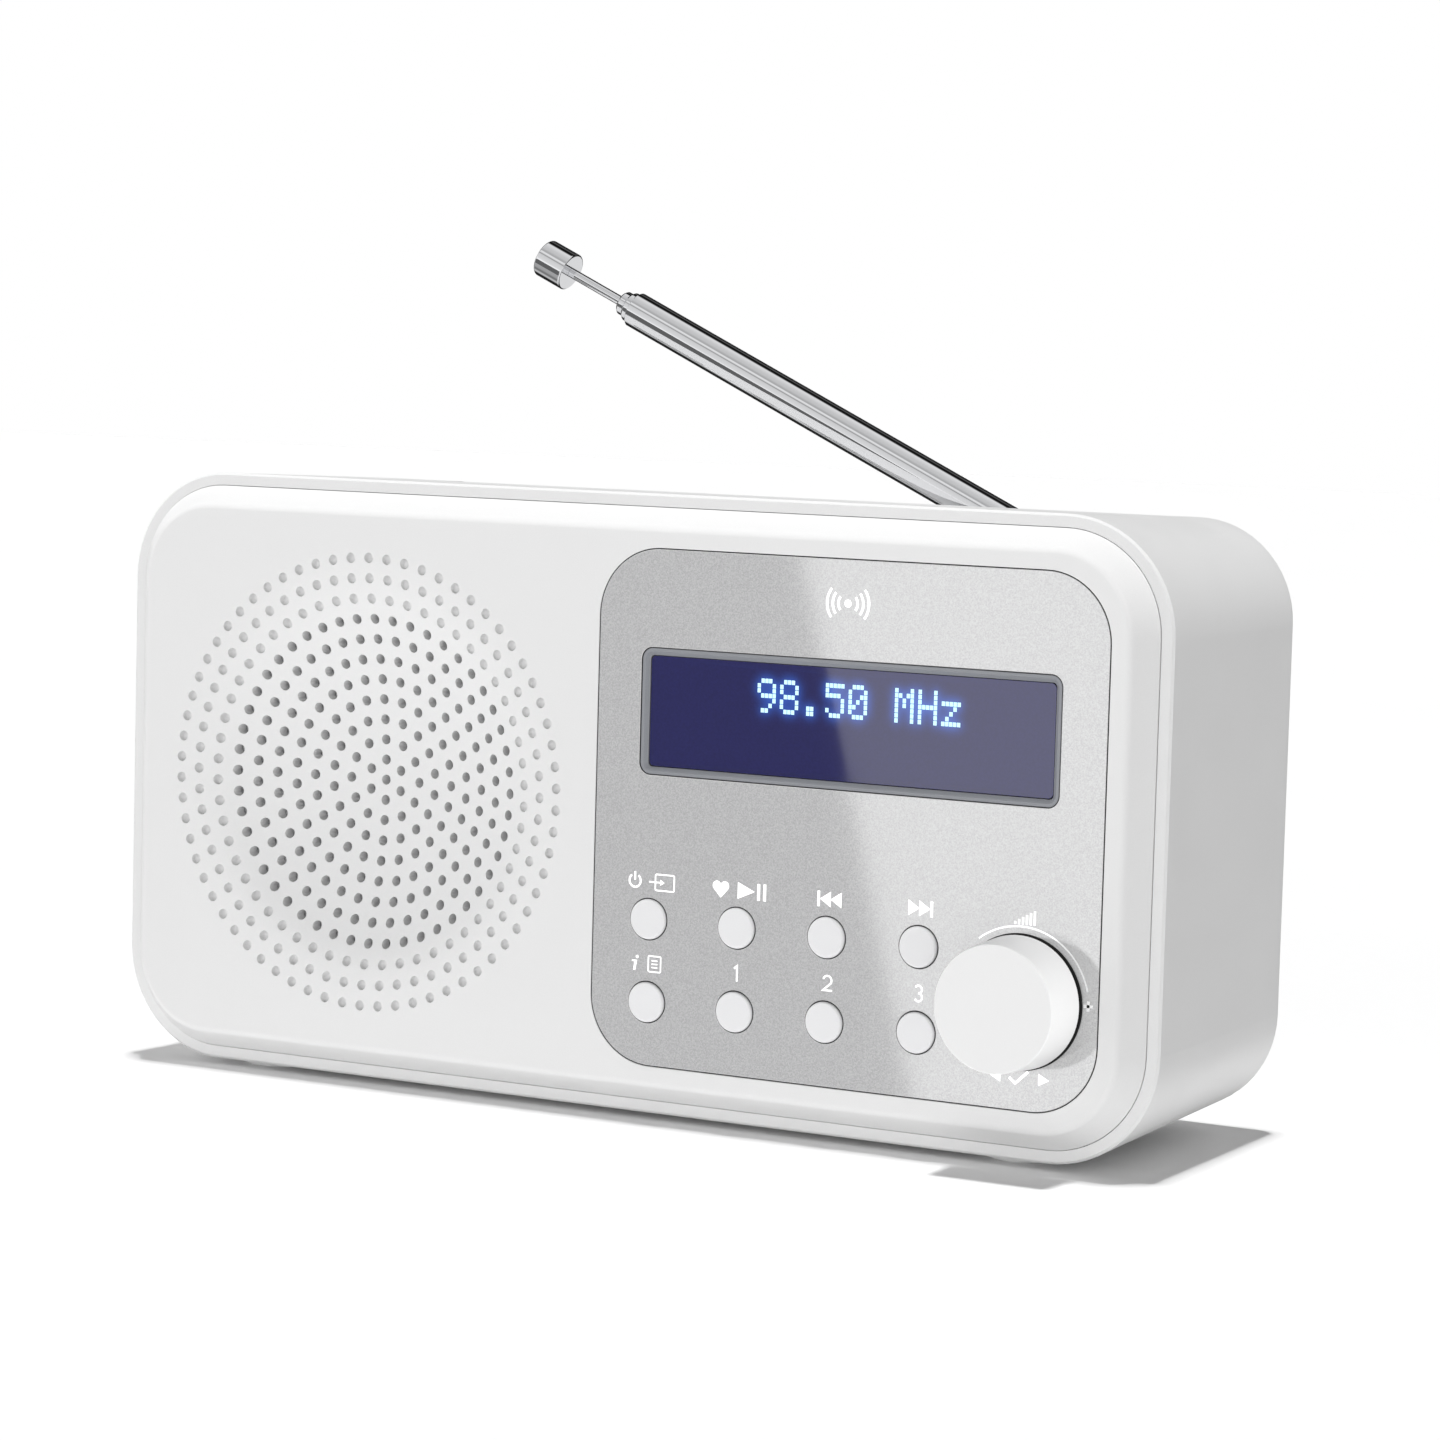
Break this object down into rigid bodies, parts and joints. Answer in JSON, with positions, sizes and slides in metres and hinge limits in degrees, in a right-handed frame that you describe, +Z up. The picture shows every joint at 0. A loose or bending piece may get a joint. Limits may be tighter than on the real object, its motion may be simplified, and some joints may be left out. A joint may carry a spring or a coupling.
{
  "type": "tabletop radio",
  "caption": "White tabletop radio with a dished round grille, silver control panel, display, keys, volume knob and folding telescopic aerial.",
  "frame": {"origin": "centre of the bounding box in plan, at the height of the feet's undersides", "axes": "+Z up, +X to the right seen from the front, +Y from the front face to the back"},
  "size_m": [0.195, 0.068, 0.1432],
  "materials": {
    "white_plastic": "satin white moulded plastic",
    "silver_plate": "fine-grained silver paint",
    "grey_bezel": "satin grey",
    "display_lens": "dark tinted window",
    "lcd_glass": "polished",
    "light_guide": "translucent white",
    "cloth": "open weave",
    "foam": "closed-cell foam",
    "black_metal": "satin black",
    "rubber": "soft",
    "paper_cone": "pressed paper",
    "copper": "enamelled wire",
    "steel": "plated",
    "key_plastic": "satin white",
    "black_plastic": "moulded",
    "circuit_board": "solder mask",
    "ribbon": "flat cable",
    "cell_wrap": "printed wrap without marks",
    "chrome": "bright",
    "lead_sleeve": "insulation"
  },
  "bodies": {
    "root": {"front_panel": "white_plastic", "rear_case": "white_plastic", "feet": "white_plastic", "control_plate": "silver_plate", "display_bezel": "grey_bezel", "display_lens": "display_lens", "lcd_glass": "lcd_glass", "lcd_backlight": "light_guide", "grille_cloth": "cloth", "speaker_gasket": "foam", "speaker_frame": "black_metal", "speaker_magnet": "black_metal", "speaker_surround": "rubber", "speaker_cone": "paper_cone", "dust_cap": "paper_cone", "voice_coil": "copper", "speaker_screws": "steel", "encoder_body": "steel", "encoder_nut": "steel", "tuner_shield": "steel", "pcb_screws": "steel", "case_screws": "steel", "battery_contacts": "steel", "battery_springs": "steel", "aerial_bush": "steel", "aerial_nut": "steel", "tact_switches": "black_plastic", "pcb_chips": "black_plastic", "dc_jack": "black_plastic", "headphone_jack": "black_plastic", "line_in_jack": "black_plastic", "control_pcb": "circuit_board", "main_pcb": "circuit_board", "ribbon_cable": "ribbon", "batteries": "cell_wrap", "speaker_leads": "lead_sleeve", "battery_leads": "lead_sleeve", "aerial_lead": "lead_sleeve"},
    "key_power": {"key_power": "key_plastic"},
    "key_play": {"key_play": "key_plastic"},
    "key_previous": {"key_previous": "key_plastic"},
    "key_next": {"key_next": "key_plastic"},
    "key_info": {"key_info": "key_plastic"},
    "key_preset_1": {"key_preset_1": "key_plastic"},
    "key_preset_2": {"key_preset_2": "key_plastic"},
    "key_preset_3": {"key_preset_3": "key_plastic"},
    "select_plunger": {"select_plunger": "light_guide"},
    "volume_knob": {"volume_knob": "white_plastic", "encoder_shaft": "steel"},
    "battery_door": {"battery_door": "white_plastic"},
    "aerial_swivel": {"aerial_swivel": "chrome", "aerial_hinge_pin": "steel"},
    "aerial_tube": {"aerial_tube": "chrome"},
    "aerial_section_2": {"aerial_section_2": "chrome"},
    "aerial_section_3": {"aerial_section_3": "chrome"},
    "aerial_rod": {"aerial_rod": "chrome", "aerial_tip": "chrome"}
  },
  "joints": [
    {"name": "key_power_press", "type": "slide", "parent": "root", "child": "key_power", "axis": [0, 1, 0], "range_m": [0, 0.0006], "stiffness_N_per_m": 800, "springref_m": -0.0006},
    {"name": "key_play_press", "type": "slide", "parent": "root", "child": "key_play", "axis": [0, 1, 0], "range_m": [0, 0.0006], "stiffness_N_per_m": 800, "springref_m": -0.0006},
    {"name": "key_previous_press", "type": "slide", "parent": "root", "child": "key_previous", "axis": [0, 1, 0], "range_m": [0, 0.0006], "stiffness_N_per_m": 800, "springref_m": -0.0006},
    {"name": "key_next_press", "type": "slide", "parent": "root", "child": "key_next", "axis": [0, 1, 0], "range_m": [0, 0.0006], "stiffness_N_per_m": 800, "springref_m": -0.0006},
    {"name": "key_info_press", "type": "slide", "parent": "root", "child": "key_info", "axis": [0, 1, 0], "range_m": [0, 0.0006], "stiffness_N_per_m": 800, "springref_m": -0.0006},
    {"name": "key_preset_1_press", "type": "slide", "parent": "root", "child": "key_preset_1", "axis": [0, 1, 0], "range_m": [0, 0.0006], "stiffness_N_per_m": 800, "springref_m": -0.0006},
    {"name": "key_preset_2_press", "type": "slide", "parent": "root", "child": "key_preset_2", "axis": [0, 1, 0], "range_m": [0, 0.0006], "stiffness_N_per_m": 800, "springref_m": -0.0006},
    {"name": "key_preset_3_press", "type": "slide", "parent": "root", "child": "key_preset_3", "axis": [0, 1, 0], "range_m": [0, 0.0006], "stiffness_N_per_m": 800, "springref_m": -0.0006},
    {"name": "select_press", "type": "slide", "parent": "root", "child": "select_plunger", "axis": [0, 1, 0], "range_m": [0, 0.0005], "stiffness_N_per_m": 1500, "springref_m": -0.0006},
    {"name": "volume_turn", "type": "hinge", "parent": "select_plunger", "child": "volume_knob", "pos_m": [0.0756, -0.0245, 0.02665], "axis": [0, 1, 0], "continuous": true},
    {"name": "battery_door_swing", "type": "hinge", "parent": "root", "child": "battery_door", "pos_m": [0.044, 0.0328, 0.01415], "axis": [-1, 0, 0], "range_deg": [0, 85]},
    {"name": "aerial_turn", "type": "hinge", "parent": "root", "child": "aerial_swivel", "pos_m": [0.0665, 0.0295, 0.08755], "axis": [0, 1, 0], "range_deg": [-25, 90]},
    {"name": "aerial_tilt", "type": "hinge", "parent": "aerial_swivel", "child": "aerial_tube", "pos_m": [0.0665, 0.0295, 0.08755], "axis": [-0.4226, 0, -0.9063], "range_deg": [0, 90]},
    {"name": "aerial_slide_2", "type": "slide", "parent": "aerial_tube", "child": "aerial_section_2", "axis": [-0.9063, 0, 0.4226], "range_m": [0, 0.084]},
    {"name": "aerial_slide_3", "type": "slide", "parent": "aerial_section_2", "child": "aerial_section_3", "axis": [-0.9063, 0, 0.4226], "range_m": [0, 0.084]},
    {"name": "aerial_slide_rod", "type": "slide", "parent": "aerial_section_3", "child": "aerial_rod", "axis": [-0.9063, 0, 0.4226], "range_m": [-0.0115, 0.0735]}
  ]
}
